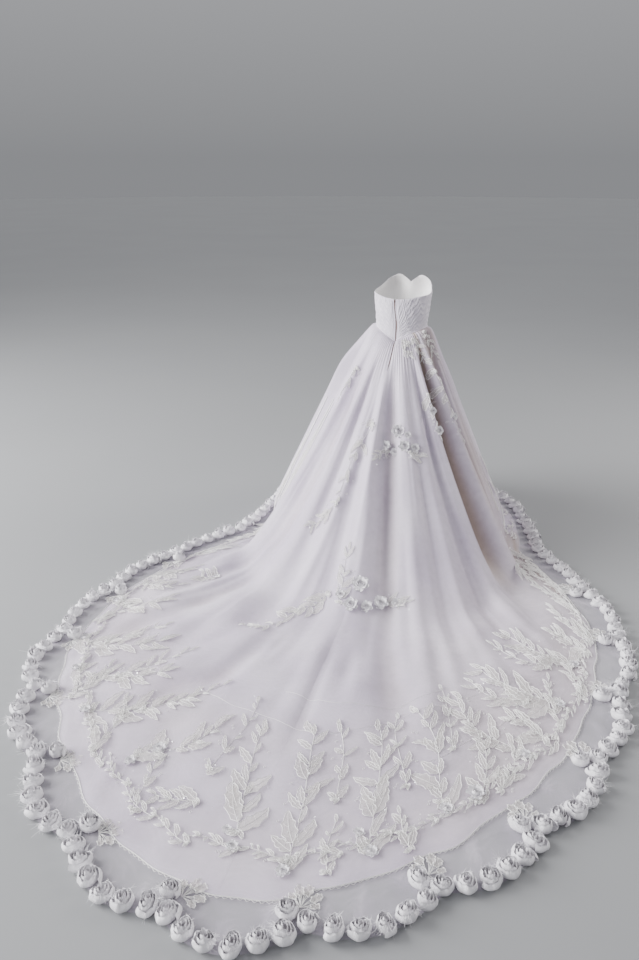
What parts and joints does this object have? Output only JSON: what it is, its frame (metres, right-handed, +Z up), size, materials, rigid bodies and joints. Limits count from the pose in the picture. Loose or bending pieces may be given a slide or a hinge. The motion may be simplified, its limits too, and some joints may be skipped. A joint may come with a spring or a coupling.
{
  "type": "wedding dress held up at the waist by its wearer",
  "caption": "Strapless ball gown with a pleated bodice, a flared satin and tulle skirt, and a long train edged with wound roses.",
  "frame": {"origin": "middle of the waist, 1.10 m above the floor, where the wearer holds the gown up", "axes": "+Z up, the wearer faces -Y, the train runs out along +Y, +X is the wearer's left"},
  "size_m": [2.4125, 3.5128, 1.3347],
  "materials": {
    "pleated_tulle": "ivory tulle gathered in fine diagonal pleats",
    "satin": "ivory satin with a soft sheen",
    "tulle": "sheer soft white tulle",
    "organza": "white organza strip, frayed at its edges",
    "corded_lace": "ivory corded lace with a few sequins",
    "zip_tape": "woven tape"
  },
  "bodies": {
    "root": {"bodice_back_left": "pleated_tulle", "bodice_side_back_left": "pleated_tulle", "bodice_side_front_left": "pleated_tulle", "bodice_front": "pleated_tulle", "bodice_side_front_right": "pleated_tulle", "bodice_side_back_right": "pleated_tulle", "bodice_back_right": "pleated_tulle", "waist_cord_left": "satin", "waist_cord_right": "satin", "back_zip": "zip_tape", "underskirt_train_left": "satin", "underskirt_side_left": "satin", "underskirt_front": "satin", "underskirt_side_right": "satin", "underskirt_train_right": "satin", "tulle_train_left": "tulle", "tulle_side_left": "tulle", "tulle_front": "tulle", "tulle_side_right": "tulle", "tulle_train_right": "tulle", "rose_trim_01": "organza", "rose_trim_02": "organza", "rose_trim_03": "organza", "rose_trim_04": "organza", "rose_trim_05": "organza", "rose_trim_06": "organza", "rose_trim_07": "organza", "rose_trim_08": "organza", "rose_trim_09": "organza", "rose_trim_10": "organza", "rose_trim_11": "organza", "flower_cluster_high": "organza", "flower_cluster_low": "organza", "lace_spray_01": "corded_lace", "lace_spray_02": "corded_lace", "lace_spray_03": "corded_lace", "lace_spray_04": "corded_lace", "lace_spray_05": "corded_lace", "lace_spray_06": "corded_lace", "lace_spray_07": "corded_lace", "lace_spray_08": "corded_lace", "lace_spray_09": "corded_lace", "lace_spray_10": "corded_lace", "lace_spray_11": "corded_lace", "lace_spray_12": "corded_lace"}
  },
  "joints": []
}
